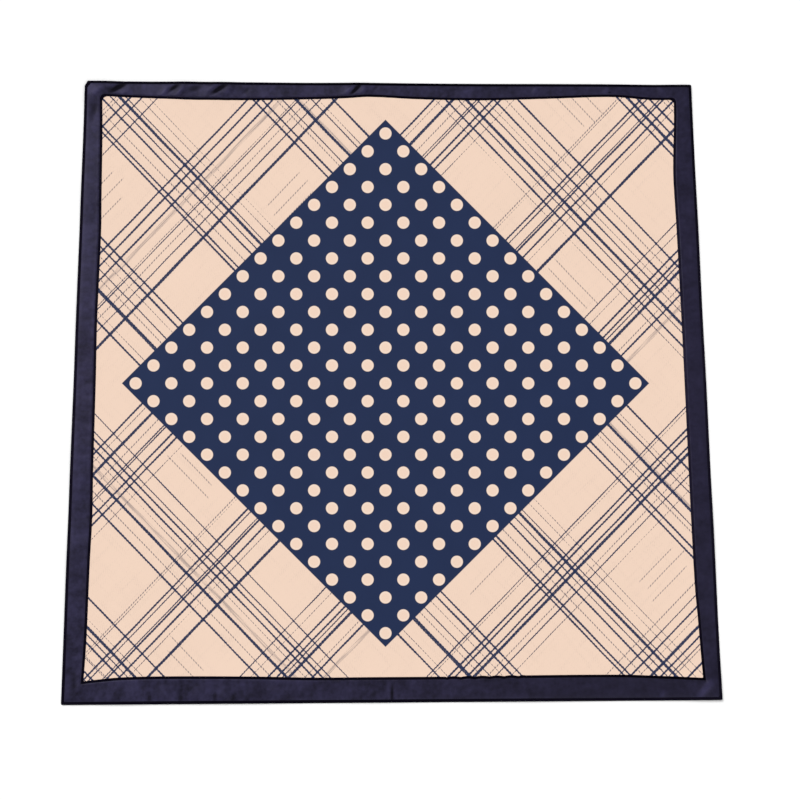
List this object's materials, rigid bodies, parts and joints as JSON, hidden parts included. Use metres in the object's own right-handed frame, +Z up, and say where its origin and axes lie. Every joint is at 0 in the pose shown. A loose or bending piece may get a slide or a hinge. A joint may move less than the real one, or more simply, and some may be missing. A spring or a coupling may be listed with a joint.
{
  "type": "square silk scarf",
  "caption": "Square silk scarf lying spread out flat: a printed silk panel inside a sewn dark satin band with a narrow hem.",
  "frame": {"origin": "on the surface that the scarf lies on, under the middle of its outline", "axes": "+Z up from the surface, through the cloth; +X to the right and +Y to the far side, along the scarf's sides, with the band's join on the -Y side"},
  "size_m": [0.9, 0.9, 0.0062],
  "materials": {
    "printed_silk": "light silk twill, printed with a navy bias check and a navy diamond of round dots on a peach ground",
    "satin_band": "dark purplish navy satin with a soft sheen, turned and stitched at the outer edge"
  },
  "bodies": {
    "root": {"centre_panel": "printed_silk", "border_band": "satin_band"}
  },
  "joints": []
}
